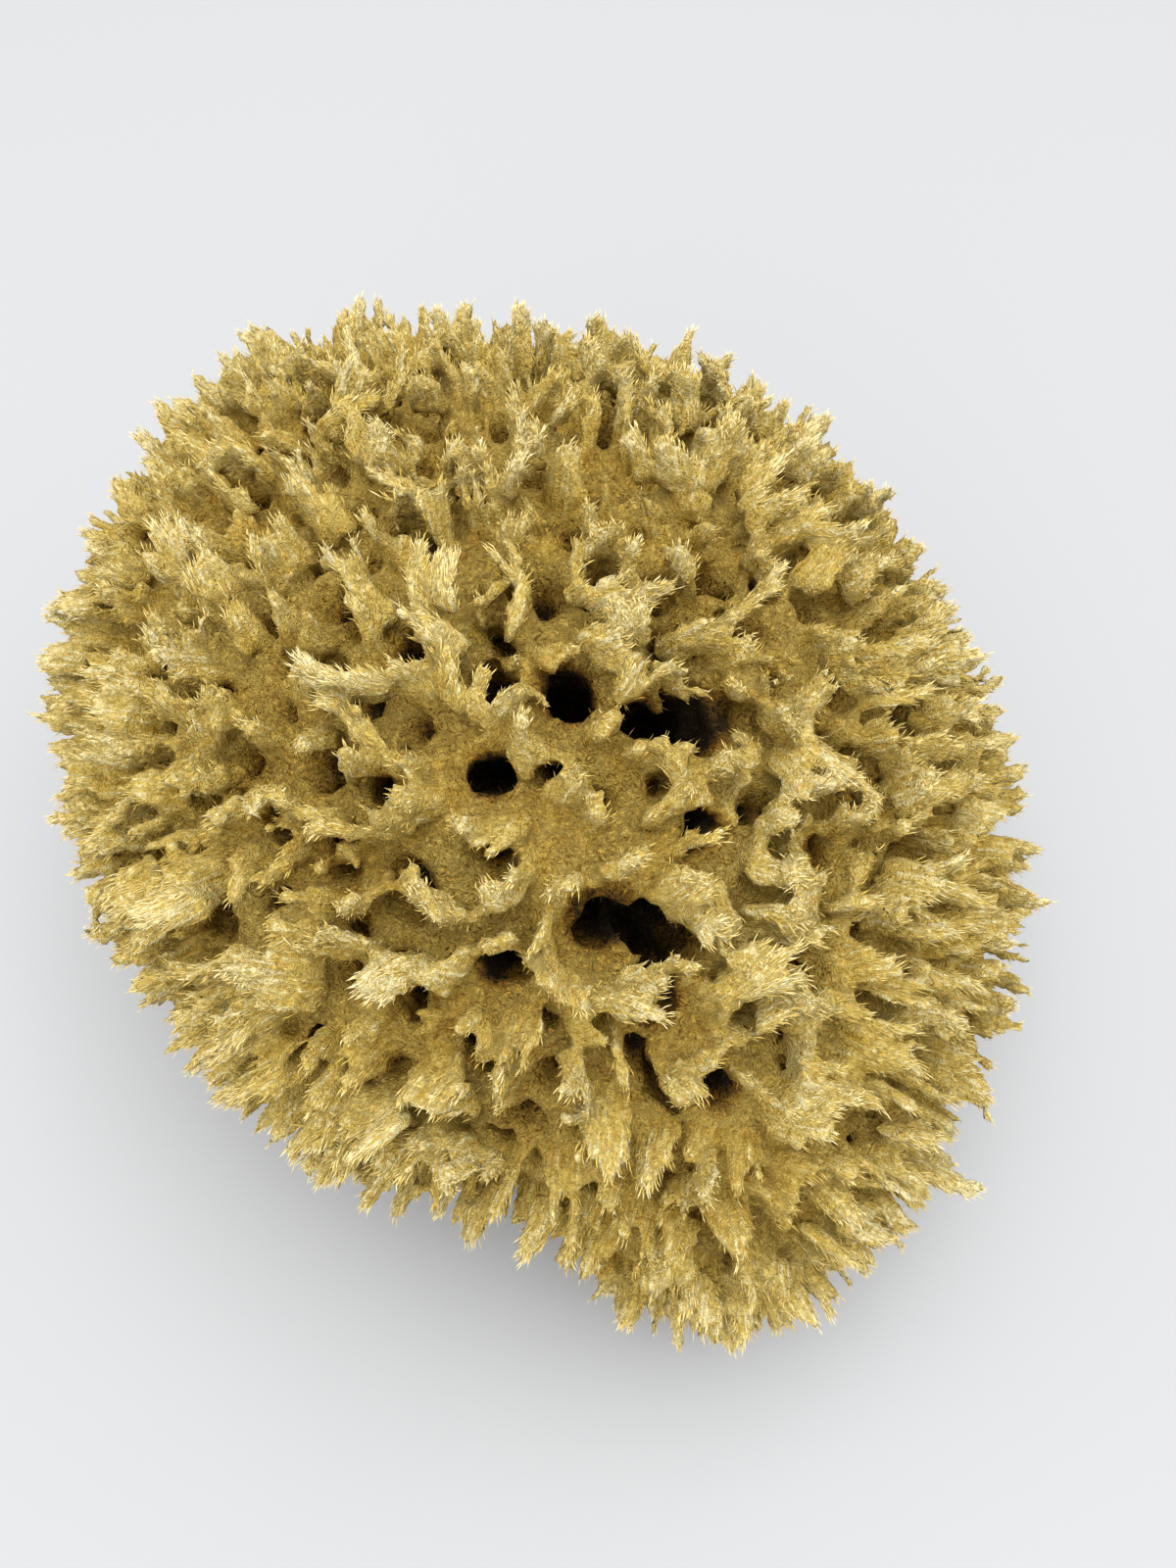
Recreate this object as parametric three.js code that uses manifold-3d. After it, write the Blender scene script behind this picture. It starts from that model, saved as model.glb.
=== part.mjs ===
// Natural sea sponge of the wool type: one grown piece of fibrous skeleton.
// A lopsided dome covered in pointed tufts, with large round exhaust pores (oscula) that run down
// into it, and a flat underside where it was cut from the rock. Millimetres, +Z up, resting on z = 0.
import * as THREE from 'three';
import { mergeVertices } from 'three/addons/utils/BufferGeometryUtils.js';
import Module from 'manifold-3d';

const wasm = await Module();
wasm.setup();

// ---- driving dimensions, in millimetres and degrees -------------------------------------------

// Overall size, which the finished solid is brought to.
const WIDTH = 171;
const LENGTH = 185;
const HEIGHT = 115;

// The point that the sponge grew outwards from. Tufts and pores point away from it.
const CORE = new THREE.Vector3(0, -5, 45);

// The swellings that the dome is made of: ellipsoids joined in one smooth surface.
const SWELLINGS = [
  { name: 'crown', centre: [0, -5, 60], half: [70, 80, 55] },
  { name: 'left shoulder', centre: [-30, 20, 50], half: [55, 75, 50] },
  { name: 'front toe', centre: [25, -50, 35], half: [35, 45, 50] },
  { name: 'right flank', centre: [35, -10, 35], half: [50, 65, 40] },
  { name: 'root', centre: [0, -5, 30], half: [65, 65, 40] },
];
const BLEND_SHARPNESS = 12;

const TUFT_HEIGHT = 9;
const TUFT_HEIGHT_SPREAD = 0.45;
const TUFT_ROWS_PER_EDGE = 7;
const TUFT_SCATTER = 0.35;
const TUFT_PEAK_SHIFT = 0.3;

// The large pores: azimuth from +X towards +Y, elevation above the core, and mouth diameter.
const CROWN_PORES = [
  [-135, 70, 9], [-105, 70, 6], [-80, 70, 10], [-60, 65, 7], [-45, 60, 10],
  [-100, 60, 7], [-40, 80, 5], [170, 75, 6], [0, 60, 6],
];
const FRONT_PORES = [
  [-120, 55, 6], [-60, 50, 7], [-80, 45, 11], [-135, 45, 7], [-70, 40, 8],
  [-95, 40, 7], [-45, 40, 6], [-55, 35, 9], [-75, 35, 9], [-95, 30, 6], [-70, 25, 9],
];
const FAR_SIDE_PORES = [
  [100, 60, 8], [135, 50, 6], [60, 50, 7], [80, 30, 6], [20, 40, 7],
  [160, 30, 7], [45, 20, 5], [-165, 45, 6], [120, 15, 6], [-20, 25, 6],
];
const OSCULA = [...CROWN_PORES, ...FRONT_PORES, ...FAR_SIDE_PORES];
const OSCULUM_DEPTH = 34;
const OSCULUM_TAPER = 0.55;
const OSCULUM_SIDES = 9;
const MOUTH_CLEARANCE = 12;

// Canals laid open by the cut underneath: x, y and diameter.
const CUT_CANALS = [
  [25, 10, 8], [-25, 5, 7], [10, -35, 9], [-20, -40, 6], [35, -20, 6], [-5, 30, 7],
];
const CUT_CANAL_DEPTH = 18;

const FIBRE_COLOUR = 0xb39b5a;
const FIBRE_ROUGHNESS = 0.95;

// ---- chance, the same on every run --------------------------------------------------------------

let seed = 20;
function chance() {
  seed = (seed * 16807) % 2147483647;
  return seed / 2147483647;
}
function spread(amount) {
  return (chance() * 2 - 1) * amount;
}

// ---- outer surface of the dome ------------------------------------------------------------------

// Distance from the core to one ellipsoid's far wall along a unit direction.
function reachOfSwelling(direction, swelling) {
  const half = new THREE.Vector3(...swelling.half);
  const from = CORE.clone().sub(new THREE.Vector3(...swelling.centre)).divide(half);
  const along = direction.clone().divide(half);
  const a = along.lengthSq();
  const b = along.dot(from);
  const inside = b * b - a * (from.lengthSq() - 1);
  return inside > 0 ? Math.max((-b + Math.sqrt(inside)) / a, 1) : 1;
}

function reach(direction) {
  const terms = SWELLINGS.map((one) => reachOfSwelling(direction, one) ** BLEND_SHARPNESS);
  return terms.reduce((sum, term) => sum + term, 0) ** (1 / BLEND_SHARPNESS);
}

function surfacePoint(direction, below = 0) {
  return direction.clone().multiplyScalar(reach(direction) - below).add(CORE);
}

function directionOf(azimuth, elevation) {
  const polar = THREE.MathUtils.degToRad(90 - elevation);
  const around = THREE.MathUtils.degToRad(azimuth);
  return new THREE.Vector3(
    Math.sin(polar) * Math.cos(around),
    Math.sin(polar) * Math.sin(around),
    Math.cos(polar),
  );
}

// ---- solids -------------------------------------------------------------------------------------

function toSolid(geometry) {
  const bare = geometry.clone();
  bare.deleteAttribute('normal');
  bare.deleteAttribute('uv');
  const merged = mergeVertices(bare, 1e-4);
  return new wasm.Manifold(new wasm.Mesh({
    numProp: 3,
    vertProperties: new Float32Array(merged.getAttribute('position').array),
    triVerts: new Uint32Array(merged.getIndex().array),
  }));
}

function toGeometry(solid) {
  const mesh = solid.getMesh();
  const geometry = new THREE.BufferGeometry();
  geometry.setAttribute('position', new THREE.BufferAttribute(new Float32Array(mesh.vertProperties), 3));
  geometry.setIndex(new THREE.BufferAttribute(new Uint32Array(mesh.triVerts), 1));
  geometry.computeVertexNormals();
  return geometry;
}

// The net of valleys between the tufts: an even ball of triangles with its corners scattered.
function valleyNet() {
  const ball = new THREE.IcosahedronGeometry(1, TUFT_ROWS_PER_EDGE);
  ball.deleteAttribute('normal');
  ball.deleteAttribute('uv');
  const net = mergeVertices(ball, 1e-4);
  const corners = net.getAttribute('position');
  const scatter = TUFT_SCATTER / TUFT_ROWS_PER_EDGE;
  const directions = [];
  for (let i = 0; i < corners.count; i += 1) {
    const corner = new THREE.Vector3().fromBufferAttribute(corners, i);
    corner.add(new THREE.Vector3(spread(scatter), spread(scatter), spread(scatter)));
    directions.push(corner.normalize());
  }
  return { directions, triangles: Array.from(net.getIndex().array) };
}

// One tuft stands on each triangle of the net: three flanks that meet in a peak at the surface.
function tuftedDome() {
  const { directions, triangles } = valleyNet();
  const valleys = directions.map((direction) => surfacePoint(direction, TUFT_HEIGHT));
  const corners = [];
  for (let t = 0; t < triangles.length; t += 3) {
    const foot = [triangles[t], triangles[t + 1], triangles[t + 2]];
    const peakDirection = new THREE.Vector3();
    foot.forEach((i) => peakDirection.addScaledVector(directions[i], 1 + spread(TUFT_PEAK_SHIFT)));
    peakDirection.normalize();
    const shorter = TUFT_HEIGHT * TUFT_HEIGHT_SPREAD * chance();
    const peak = surfacePoint(peakDirection, shorter);
    for (let side = 0; side < 3; side += 1) {
      const flank = [valleys[foot[side]], valleys[foot[(side + 1) % 3]], peak];
      flank.forEach((point) => corners.push(point.x, point.y, point.z));
    }
  }
  const geometry = new THREE.BufferGeometry();
  geometry.setAttribute('position', new THREE.Float32BufferAttribute(corners, 3));
  return geometry;
}

// A tapered round hole of the given depth, with its mouth a little proud of the surface point.
function hole(mouthCentre, outward, diameter, depth) {
  const bottomRadius = (diameter / 2) * OSCULUM_TAPER;
  const slope = (diameter / 2 - bottomRadius) / depth;
  const topRadius = diameter / 2 + slope * MOUTH_CLEARANCE;
  const length = depth + MOUTH_CLEARANCE;
  const cone = new THREE.CylinderGeometry(topRadius, bottomRadius, length, OSCULUM_SIDES);
  cone.translate(0, MOUTH_CLEARANCE - length / 2, 0);
  const turn = new THREE.Quaternion().setFromUnitVectors(new THREE.Vector3(0, 1, 0), outward);
  cone.applyQuaternion(turn);
  cone.translate(mouthCentre.x, mouthCentre.y, mouthCentre.z);
  return toSolid(cone);
}

function osculumHoles() {
  return OSCULA.map(([azimuth, elevation, diameter]) => {
    const outward = directionOf(azimuth, elevation);
    return hole(surfacePoint(outward), outward, diameter, OSCULUM_DEPTH);
  });
}

function cutCanalHoles() {
  const down = new THREE.Vector3(0, 0, -1);
  return CUT_CANALS.map(([x, y, diameter]) => (
    hole(new THREE.Vector3(x, y, 0), down, diameter, CUT_CANAL_DEPTH)
  ));
}

// Everything below the plane where the sponge was cut from the rock.
function belowTheCut() {
  const size = 400;
  const block = new THREE.BoxGeometry(size, size, size);
  block.translate(0, 0, -size / 2);
  return toSolid(block);
}

function spongeGeometry() {
  let solid = toSolid(tuftedDome()).subtract(belowTheCut());
  for (const cutter of [...osculumHoles(), ...cutCanalHoles()]) {
    solid = solid.subtract(cutter);
  }
  const geometry = toGeometry(solid);
  geometry.computeBoundingBox();
  const middle = geometry.boundingBox.getCenter(new THREE.Vector3());
  const size = geometry.boundingBox.getSize(new THREE.Vector3());
  geometry.translate(-middle.x, -middle.y, 0);
  return geometry.scale(WIDTH / size.x, LENGTH / size.y, HEIGHT / size.z);
}

// ---- the part -----------------------------------------------------------------------------------

const fibre = new THREE.MeshStandardMaterial({
  color: FIBRE_COLOUR,
  roughness: FIBRE_ROUGHNESS,
  metalness: 0,
});
const sponge = new THREE.Mesh(spongeGeometry(), fibre);
sponge.name = 'sponge';

const part = new THREE.Group();
part.add(sponge);

export default part;
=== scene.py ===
"""Natural sea sponge of the wool type, resting on its cut underside. Metres, in the frame's axes."""

import math

import bmesh
import bpy
import numpy as np
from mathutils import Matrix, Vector, noise
from mathutils.kdtree import KDTree


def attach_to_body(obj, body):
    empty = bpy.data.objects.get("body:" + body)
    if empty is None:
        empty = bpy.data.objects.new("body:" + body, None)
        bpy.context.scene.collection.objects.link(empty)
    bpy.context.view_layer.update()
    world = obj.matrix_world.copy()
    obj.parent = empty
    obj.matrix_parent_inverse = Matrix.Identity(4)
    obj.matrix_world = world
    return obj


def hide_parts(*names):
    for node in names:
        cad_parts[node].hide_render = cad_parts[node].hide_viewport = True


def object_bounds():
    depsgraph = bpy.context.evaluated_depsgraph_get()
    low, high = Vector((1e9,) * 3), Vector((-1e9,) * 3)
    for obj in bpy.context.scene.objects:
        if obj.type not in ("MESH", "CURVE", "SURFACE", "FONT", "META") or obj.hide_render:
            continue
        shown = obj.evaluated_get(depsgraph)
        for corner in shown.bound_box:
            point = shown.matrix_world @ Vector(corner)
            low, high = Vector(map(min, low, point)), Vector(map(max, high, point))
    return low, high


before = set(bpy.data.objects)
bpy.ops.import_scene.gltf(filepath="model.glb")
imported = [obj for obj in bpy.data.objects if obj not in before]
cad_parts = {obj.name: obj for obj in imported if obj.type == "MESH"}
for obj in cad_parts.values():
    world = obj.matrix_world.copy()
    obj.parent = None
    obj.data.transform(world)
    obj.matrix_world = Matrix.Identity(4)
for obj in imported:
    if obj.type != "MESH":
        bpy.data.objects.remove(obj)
CAD_LOW, CAD_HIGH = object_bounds()

bl_info = {
    "name": "Sea Sponge",
    "version": (1, 0, 0),
    "blender": (4, 5, 0),
    "location": "3D View > Sidebar > Sponge",
    "description": "Grows a tufted natural sponge, with its fibres, inside the packed frame",
    "category": "Add Mesh",
}

MM = 0.001
NODE = "sponge"
BODY = "root"

# ---- the dome that the tuft tips reach ----------------------------------------------------------

# Point that the sponge grew outwards from, in millimetres, before the dome is fitted to the frame.
CORE = (0, -5, 45)
# Centre and half-widths of each swelling: crown, left shoulder, front toe, right flank, root.
SWELLINGS = (
    ((0, -5, 60), (70, 80, 55)),
    ((-30, 20, 50), (55, 75, 50)),
    ((25, -50, 35), (35, 45, 50)),
    ((35, -10, 35), (50, 65, 40)),
    ((0, -5, 30), (65, 65, 40)),
)
BLEND_SHARPNESS = 12
# Directions over the dome that its box is measured on.
FIT_SAMPLES = 8000
# Any slanted direction, which a first sideways axis is squared off from.
ASKEW = (0.31, 0.17, 0.93)

# Large pores: azimuth from +X towards +Y, elevation above the core, and mouth diameter in mm.
CROWN_PORES = (
    (-135, 70, 9), (-105, 70, 6), (-80, 70, 10), (-60, 65, 7), (-45, 60, 10),
    (-100, 60, 7), (-40, 80, 5), (170, 75, 6), (0, 60, 6),
)
FRONT_PORES = (
    (-120, 55, 6), (-60, 50, 7), (-80, 45, 11), (-135, 45, 7), (-70, 40, 8),
    (-95, 40, 7), (-45, 40, 6), (-55, 35, 9), (-75, 35, 9), (-95, 30, 6), (-70, 25, 9),
)
FAR_SIDE_PORES = (
    (100, 60, 8), (135, 50, 6), (60, 50, 7), (80, 30, 6), (20, 40, 7),
    (160, 30, 7), (45, 20, 5), (-165, 45, 6), (120, 15, 6), (-20, 25, 6),
)
OSCULA = CROWN_PORES + FRONT_PORES + FAR_SIDE_PORES
# Canals laid open by the cut underneath: x, y and diameter in mm.
CUT_CANALS = (
    (25, 10, 8), (-25, 5, 7), (10, -35, 9), (-20, -40, 6), (35, -20, 6), (-5, 30, 7),
)

# Places tried for the pits and for the tufts, of which the crowded ones are dropped.
PIT_CANDIDATES = 5000
TUFT_CANDIDATES = 16000
# Smallest and largest radius of a pit in mm.
PIT_RADII = (1.2, 2.7)
LOWEST_PIT = 12 * MM
# Bare rim between a large pore and the nearest pit, and between a pore and the nearest tuft.
PIT_CLEARANCE = 5 * MM
TUFT_CLEARANCE = 0.8 * MM
# Spacing of the tufts that stand round the mouth of a large pore.
COLLAR_SPACING = 6.5 * MM
# The tufts lean and curl less away from the large pores, and least from about this distance.
CALM_DISTANCE = 22 * MM
# A tuft has about one lobe for each of these widths.
LOBE_SPACING = 1.4 * MM
# Sides and rings of a lobe or a wall, before the skin is fused.
LOBE_DETAIL = (8, 5)
# Places along a lobe that the grain is read from.
LOBE_STEPS = (0.25, 0.5, 0.75, 1.0)
# A point near a lobe is combed along it. From the first distance it is tangled, after a fade.
COMBED_REACH = 2.8 * MM
COMBED_FADE = 0.9 * MM
# The fibre grain of a tuft is this many times longer than wide.
GRAIN_SLENDERNESS = 8
# Walls join this share of the pairs of tufts that stand this near, this far below their tips.
WALL_SHARE = 0.3
WALL_SPAN = 8.5 * MM
WALL_DEPTH = 9.5 * MM

# Top and bottom of the wells that hollow the pores, the pits, the canals and the pits of the cut.
PORE_SPAN = (0.5 * MM, 32 * MM)
PIT_SPAN = (2 * MM, 24 * MM)
CANAL_SPAN = (-9 * MM, 18 * MM)
CUT_PIT_SPAN = (-4 * MM, 9 * MM)
BALLS_IN_PORE = 3
CUT_PITS = 90
# The pits of the cut lie within this share of the box.
CUT_PITS_WITHIN = 0.66
# The wells wander by up to the second length over about the first, both in mm.
WANDER = (6, 1.6)

# Lightness below the tuft tips, partly fibre ochre, partly painted shade; and painted shade inside a pore.
TONE_DEPTHS = np.array((-2, 1, 5, 9, 12, 16, 20)) * MM
TONES_WITH_PAINTED_SHADE = (0.98, 0.88, 0.77, 0.65, 0.52, 0.26, 0.0)
PORE_SHADE_DEPTHS = np.array((6, 14)) * MM
PORE_PAINTED_SHADES = (0.0, 0.7)


def unit(vectors):
    """Vectors scaled to length one."""
    return vectors / np.maximum(np.linalg.norm(vectors, axis=-1, keepdims=True), 1e-12)


def dot(a, b):
    """Row by row dot product, kept as a column."""
    return np.sum(a * b, axis=-1, keepdims=True)


def even_directions(count):
    """Unit directions spread evenly over a ball on a golden spiral."""
    step = np.arange(count) + 0.5
    height = 1 - 2 * step / count
    turn = math.pi * (1 + math.sqrt(5)) * step
    flat = np.sqrt(1 - height ** 2)
    return np.stack((np.cos(turn) * flat, np.sin(turn) * flat, height), axis=1)


def direction_of(azimuth, elevation):
    """Unit direction of an azimuth and an elevation in degrees."""
    around, up = math.radians(azimuth), math.radians(elevation)
    return np.array((math.cos(up) * math.cos(around), math.cos(up) * math.sin(around), math.sin(up)))


class Dome:
    """The smooth surface that the tuft tips reach, fitted to the frame's box."""

    def __init__(self):
        self.core = np.array(CORE, float)
        self.centres = np.array([centre for centre, half in SWELLINGS], float)
        self.halves = np.array([half for centre, half in SWELLINGS], float)
        self.fit(CAD_LOW, CAD_HIGH)

    def fit(self, low, high):
        """Scales the swellings so that the dome above the cut fills the box."""
        surface = self.point(even_directions(FIT_SAMPLES))
        own_low, own_high = surface.min(axis=0), surface.max(axis=0)
        own_low[2] = 0
        scale = (np.array(high) - np.array(low)) / (own_high - own_low)
        shift = np.array(low) - own_low * scale
        self.core = self.core * scale + shift
        self.centres = self.centres * scale + shift
        self.halves = self.halves * scale

    def reach(self, directions):
        """Distance from the core to the surface along unit directions."""
        total = 0
        for centre, half in zip(self.centres, self.halves):
            start = (self.core - centre) / half
            along = directions / half
            a = dot(along, along)[:, 0]
            b = along @ start
            inside = np.maximum(b * b - a * (start @ start - 1), 0)
            total = total + np.maximum((np.sqrt(inside) - b) / a, 0) ** BLEND_SHARPNESS
        return total ** (1 / BLEND_SHARPNESS)

    def point(self, directions, below=0):
        """Surface points along unit directions, or points that far below the surface."""
        return self.core + directions * (self.reach(directions) - below)[:, None]

    def normal(self, directions):
        """Outward normals of the surface along unit directions."""
        across = unit(np.cross(directions, ASKEW))
        over = np.cross(directions, across)
        nudge = 0.02
        slopes = [
            self.point(unit(directions + nudge * way)) - self.point(unit(directions - nudge * way))
            for way in (across, over)
        ]
        normals = unit(np.cross(*slopes))
        return normals * np.sign(dot(normals, directions))

    def depth(self, points):
        """How far points lie below the surface, measured towards the core."""
        out = points - self.core
        return self.reach(unit(out)) - np.linalg.norm(out, axis=1)


# ---- pores and tufts ----------------------------------------------------------------------------


def pick_apart(points, gaps, cell):
    """Indices of points, taken in order, that keep their own gap from every earlier one."""
    cells, kept = {}, []
    for index, (point, gap) in enumerate(zip(points, gaps)):
        home = tuple(int(math.floor(v / cell)) for v in point)
        ring = int(math.ceil(gap / cell))
        span = range(-ring, ring + 1)
        near = (
            other
            for dx in span for dy in span for dz in span
            for other in cells.get((home[0] + dx, home[1] + dy, home[2] + dz), ())
        )
        if all(np.sum((points[other] - point) ** 2) >= gap * gap for other in near):
            cells.setdefault(home, []).append(index)
            kept.append(index)
    return np.array(kept)


def surface_candidates(dome, chance, count):
    """Directions scattered over the dome evenly by area, in random order."""
    directions = even_directions(count * 3)
    normals = dome.normal(directions)
    area = dome.reach(directions) ** 2 / np.maximum(dot(normals, directions)[:, 0], 0.2)
    order = chance.choice(len(directions), size=count, replace=False, p=area / area.sum())
    return directions[order], normals[order]


def main_pores():
    """Mouth directions and radii of the large pores."""
    directions = np.array([direction_of(azimuth, elevation) for azimuth, elevation, width in OSCULA])
    radii = np.array([width for azimuth, elevation, width in OSCULA]) * MM / 2
    return directions, radii


def small_pores(dome, chance, gap):
    """Mouth directions and radii of the small pits between the tufts."""
    main_directions, main_radii = main_pores()
    main_points = dome.point(main_directions)
    directions = surface_candidates(dome, chance, PIT_CANDIDATES)[0]
    points = dome.point(directions)
    clear = np.ones(len(points), bool)
    for centre, radius in zip(main_points, main_radii):
        clear &= np.linalg.norm(points - centre, axis=1) > radius + PIT_CLEARANCE
    clear &= points[:, 2] > LOWEST_PIT
    directions, points = directions[clear], points[clear]
    kept = pick_apart(points, np.full(len(points), gap), gap)
    radii = chance.uniform(*PIT_RADII, len(kept)) * MM
    return directions[kept], radii


class Growth:
    """Where every pore, tuft and finger of the sponge stands, the same on every run."""

    def __init__(self, shape):
        self.dome = Dome()
        noise.seed_set(4)
        chance = np.random.default_rng(7)
        self.pore_directions, self.pore_radii = main_pores()
        self.pit_directions, self.pit_radii = small_pores(self.dome, chance, shape.pit_gap)
        self.place_tufts(shape, chance)
        self.shape_tufts(shape, chance)
        self.split_fingers(chance)
        self.join_tufts(chance)

    def collar_directions(self, chance):
        """Directions of the tufts that stand round the mouths of the large pores."""
        found = []
        for direction, radius in zip(self.pore_directions, self.pore_radii):
            mouth = self.dome.point(direction[None])[0]
            first = unit(np.cross(direction, (0.2, 0.3, 0.9)))
            second = np.cross(direction, first)
            ring = radius + chance.uniform(1.4, 2.4) * MM
            count = max(3, int(round(2 * math.pi * ring / COLLAR_SPACING)))
            start = chance.uniform(0, 2 * math.pi)
            for step in range(count):
                turn = start + (step + chance.uniform(-0.2, 0.2)) * 2 * math.pi / count
                found.append(mouth + (first * math.cos(turn) + second * math.sin(turn)) * ring)
        return unit(np.array(found) - self.dome.core)

    def place_tufts(self, shape, chance):
        """Spreads the tufts over the dome: collars round the pores first, then all between."""
        dome = self.dome
        collars = self.collar_directions(chance)
        directions, normals = surface_candidates(dome, chance, TUFT_CANDIDATES)
        directions = np.concatenate((collars, directions))
        normals = np.concatenate((dome.normal(collars), normals))
        points = dome.point(directions)
        is_collar = np.arange(len(points)) < len(collars)
        mouths = np.concatenate((dome.point(self.pore_directions), dome.point(self.pit_directions)))
        radii = np.concatenate((self.pore_radii + TUFT_CLEARANCE, self.pit_radii * 0.6))
        clear = points[:, 2] > shape.lowest_tuft
        nearest = np.full(len(points), 1.0)
        away = np.zeros_like(points)
        for mouth, radius in zip(mouths, radii):
            gap = np.linalg.norm(points - mouth, axis=1) - radius
            clear &= gap > 0
            closer = gap < nearest
            nearest = np.where(closer, gap, nearest)
            away[closer] = points[closer] - mouth
        gaps = np.where(is_collar, 0.75, chance.uniform(0.85, 1.2, len(points))) * shape.tuft_gap
        order = np.flatnonzero(clear)
        kept = order[pick_apart(points[order], gaps[order], shape.tuft_gap)]
        self.normals, self.points, self.collar = normals[kept], points[kept], is_collar[kept]
        mouths = mouths[:len(self.pore_directions), None]
        far = np.linalg.norm(self.points - mouths, axis=2).min(axis=0)
        self.unruly = np.clip(1.4 - far / CALM_DISTANCE, 0.45, 1)[:, None]
        away = away[kept] - self.normals * dot(away[kept], self.normals)
        self.rim_pull = np.clip(1 - nearest[kept] / (4 * MM), 0, 1)[:, None]
        self.away = unit(away)

    def shape_tufts(self, shape, chance):
        """Gives each tuft its lean, height, width, fan and curl."""
        count = len(self.points)
        normals, collar = self.normals, self.collar
        drift = np.array([noise.noise_vector(Vector(p) / (28 * MM)) for p in self.points])
        elsewhere = Vector((9, 4, 2))
        swirl = np.array([noise.noise_vector(Vector(p) / (16 * MM) + elsewhere) for p in self.points])
        lean_out = self.away * self.rim_pull * chance.uniform(-0.35, 0.5, (count, 1))
        lean = (drift * 0.7 + chance.normal(0, 0.3, (count, 3))) * self.unruly + lean_out
        lean = lean - normals * dot(lean, normals)
        self.stem = unit(normals + lean)
        across = swirl + chance.normal(0, 0.2, (count, 3))
        around = np.cross(self.away, normals)
        across = across * (1 - self.rim_pull) + around * self.rim_pull * 0.9
        self.across = unit(across - self.stem * dot(across, self.stem))
        self.is_fan = chance.uniform(0, 1, count) < np.where(collar, 0.45, 0.2)
        self.height = chance.uniform(shape.tuft_low, shape.tuft_high, count)
        wide, narrow = chance.uniform(5.5, 8.5, count), chance.uniform(1.6, 5.0, count)
        self.width = np.where(self.is_fan, wide, narrow) * MM
        open_fan, closed_fan = chance.uniform(1.0, 1.4, count), chance.uniform(0.4, 1.1, count)
        self.fan = np.where(self.is_fan, open_fan, closed_fan)
        curl = chance.normal(0, 1, (count, 3)) + drift * 1.5
        curl = unit(curl - self.stem * dot(curl, self.stem))
        bow = np.where(self.is_fan, chance.uniform(2.0, 5.0, count), chance.gamma(2.0, 0.9, count)) * MM
        self.curl = curl * bow[:, None] * self.unruly
        drop = np.where(collar, chance.uniform(-1.0, 2.5, count), chance.normal(-0.2, 1.1, count))
        sunk = drop * MM + self.height * dot(self.stem, normals)[:, 0]
        self.root = self.points - normals * sunk[:, None]
        self.top = self.root + self.stem * self.height[:, None]
        self.stout = np.where(self.is_fan, 0.72, 1.0) * chance.uniform(0.8, 1.2, count)
        chance.normal(0, 1, count)  # Unused: it keeps the later draws, and so the shapes, as they are.

    def split_fingers(self, chance):
        """Splits each tuft into a row of blunt lobes that bend apart."""
        numbers = np.clip(np.round(self.width / LOBE_SPACING).astype(int) + 1, 2, 7)
        owner = np.repeat(np.arange(len(numbers)), numbers)
        first = np.concatenate(([0], np.cumsum(numbers)[:-1]))
        total = len(owner)
        place = (np.arange(total) - first[owner]) / (numbers[owner] - 1) * 2 - 1
        place = place + chance.normal(0, 0.1, total)
        self.owner = owner
        stem, across = self.stem[owner], self.across[owner]
        round_top = np.where(self.is_fan, 0.1, 0.25)[owner]
        tall = self.height[owner] * (1 - round_top * place ** 2 - chance.uniform(0, 0.2, total))
        side = (self.width[owner] / 2 * place)[:, None]
        wobble = np.cross(stem, across) * chance.normal(0, 0.6 * MM, (total, 1))
        fray = chance.normal(0, 0.7 * MM, (total, 3))
        self.start = self.root[owner] + across * side * 0.8 + wobble * 0.5
        self.bend = self.root[owner] + stem * (tall * 0.6)[:, None] + across * side + wobble + fray * 0.4
        spread = across * side * self.fan[owner][:, None]
        self.tip = self.root[owner] + stem * tall[:, None] + spread + self.curl[owner] + wobble + fray
        self.side = across
        stout = self.stout[owner]
        foot, end = chance.uniform(1.3, 1.7, total), chance.uniform(0.65, 0.9, total)
        self.thickness = np.stack((foot * stout, end * stout), axis=1) * MM
        self.press_on_floor()
        self.map_lobes()

    def map_lobes(self):
        """Samples along every lobe: where they are, which way the lobe runs there, and its tuft."""
        copies = len(LOBE_STEPS)
        steps = np.repeat(LOBE_STEPS, len(self.tip))[:, None]
        start, bend, tip = (np.tile(points, (copies, 1)) for points in (self.start, self.bend, self.tip))
        places = (1 - steps) ** 2 * start + 2 * steps * (1 - steps) * bend + steps ** 2 * tip
        self.lobe_ways = unit((1 - steps) * (bend - start) + steps * (tip - bend))
        self.lobe_tufts = np.tile(self.owner, copies)
        self.lobe_tree = KDTree(len(places))
        for number, place in enumerate(places):
            self.lobe_tree.insert(place, number)
        self.lobe_tree.balance()

    def nearest_lobes(self, points):
        """Number of the lobe sample nearest to each point, and how far off it is."""
        found = [self.lobe_tree.find(point)[1:] for point in points]
        numbers, gaps = zip(*found)
        return np.array(numbers), np.array(gaps)

    def lay(self, points):
        """The way that the nearest lobe runs at each point."""
        return self.lobe_ways[self.nearest_lobes(points)[0]]

    def grain(self, points):
        """Places in the frame of the nearest tuft, and how combed the fibre is: 1 on a tuft, 0 off it."""
        number, gap = self.nearest_lobes(points)
        tuft = self.lobe_tufts[number]
        stem, across = self.stem[tuft], self.across[tuft]
        out = points - self.root[tuft]
        along = dot(out, stem)
        out = out - self.curl[tuft] * (along / self.height[tuft][:, None]) ** 2
        deep = np.cross(stem, across)
        place = np.concatenate((dot(out, across), dot(out, deep), along / GRAIN_SLENDERNESS), axis=1)
        return place, np.clip((COMBED_REACH - gap) / COMBED_FADE, 0, 1)

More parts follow.
